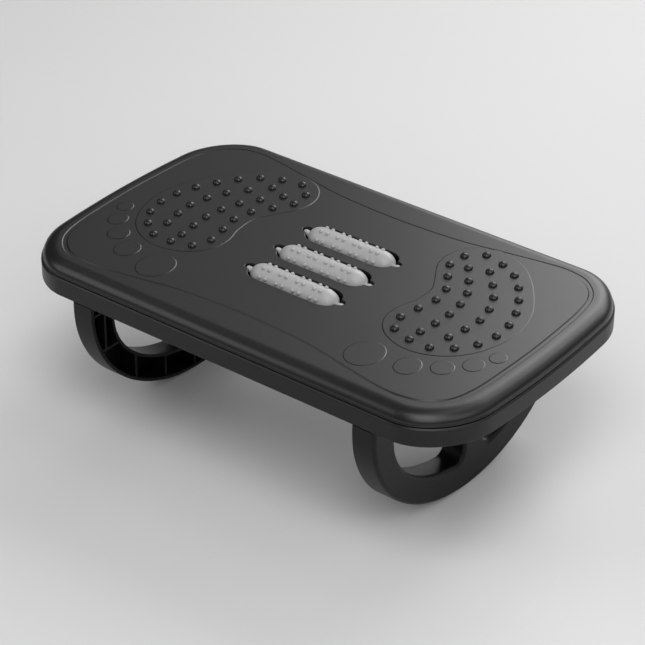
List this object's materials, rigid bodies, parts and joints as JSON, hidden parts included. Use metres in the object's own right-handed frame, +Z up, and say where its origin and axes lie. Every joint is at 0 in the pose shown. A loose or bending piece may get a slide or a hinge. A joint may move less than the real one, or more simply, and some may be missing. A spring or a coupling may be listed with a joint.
{
  "type": "rocking foot rest",
  "caption": "Rocking foot rest: a footprint-textured board on curved ribbed rockers, with free-turning nubbed massage rollers.",
  "frame": {"origin": "on the floor, under the middle of the board, where the rockers rest when the board is level", "axes": "+X along the long side of the board and along the roller axles, +Y across it towards the heels, +Z up"},
  "size_m": [0.45, 0.271, 0.1547],
  "materials": {
    "cover_plastic": "satin black, fine moulded texture",
    "tray_plastic": "satin black",
    "rocker_plastic": "satin black",
    "rail_plastic": "plain black",
    "roller_plastic": "light grey, matte",
    "screw_steel": "zinc-plated"
  },
  "bodies": {
    "board": {"top_cover": "cover_plastic", "base_tray": "tray_plastic", "rocker_left": "rocker_plastic", "rocker_right": "rocker_plastic", "axle_rail_left": "rail_plastic", "axle_rail_right": "rail_plastic", "cover_screw_1": "screw_steel", "cover_screw_2": "screw_steel", "cover_screw_3": "screw_steel", "cover_screw_4": "screw_steel", "cover_screw_5": "screw_steel", "cover_screw_6": "screw_steel", "rail_screw_1": "screw_steel", "rail_screw_2": "screw_steel", "rail_screw_3": "screw_steel", "rail_screw_4": "screw_steel", "rocker_screw_1": "screw_steel", "rocker_screw_2": "screw_steel", "rocker_screw_3": "screw_steel", "rocker_screw_4": "screw_steel", "rocker_screw_5": "screw_steel", "rocker_screw_6": "screw_steel"},
    "roller_front": {"roller_front": "roller_plastic"},
    "roller_middle": {"roller_middle": "roller_plastic"},
    "roller_rear": {"roller_rear": "roller_plastic"}
  },
  "joints": [
    {"name": "roller_front_spin", "type": "hinge", "parent": "board", "child": "roller_front", "pos_m": [0, -0.0377, 0.1432], "axis": [1, 0, 0], "continuous": true},
    {"name": "roller_middle_spin", "type": "hinge", "parent": "board", "child": "roller_middle", "pos_m": [0, 0, 0.1432], "axis": [1, 0, 0], "continuous": true},
    {"name": "roller_rear_spin", "type": "hinge", "parent": "board", "child": "roller_rear", "pos_m": [0, 0.0377, 0.1432], "axis": [1, 0, 0], "continuous": true}
  ]
}
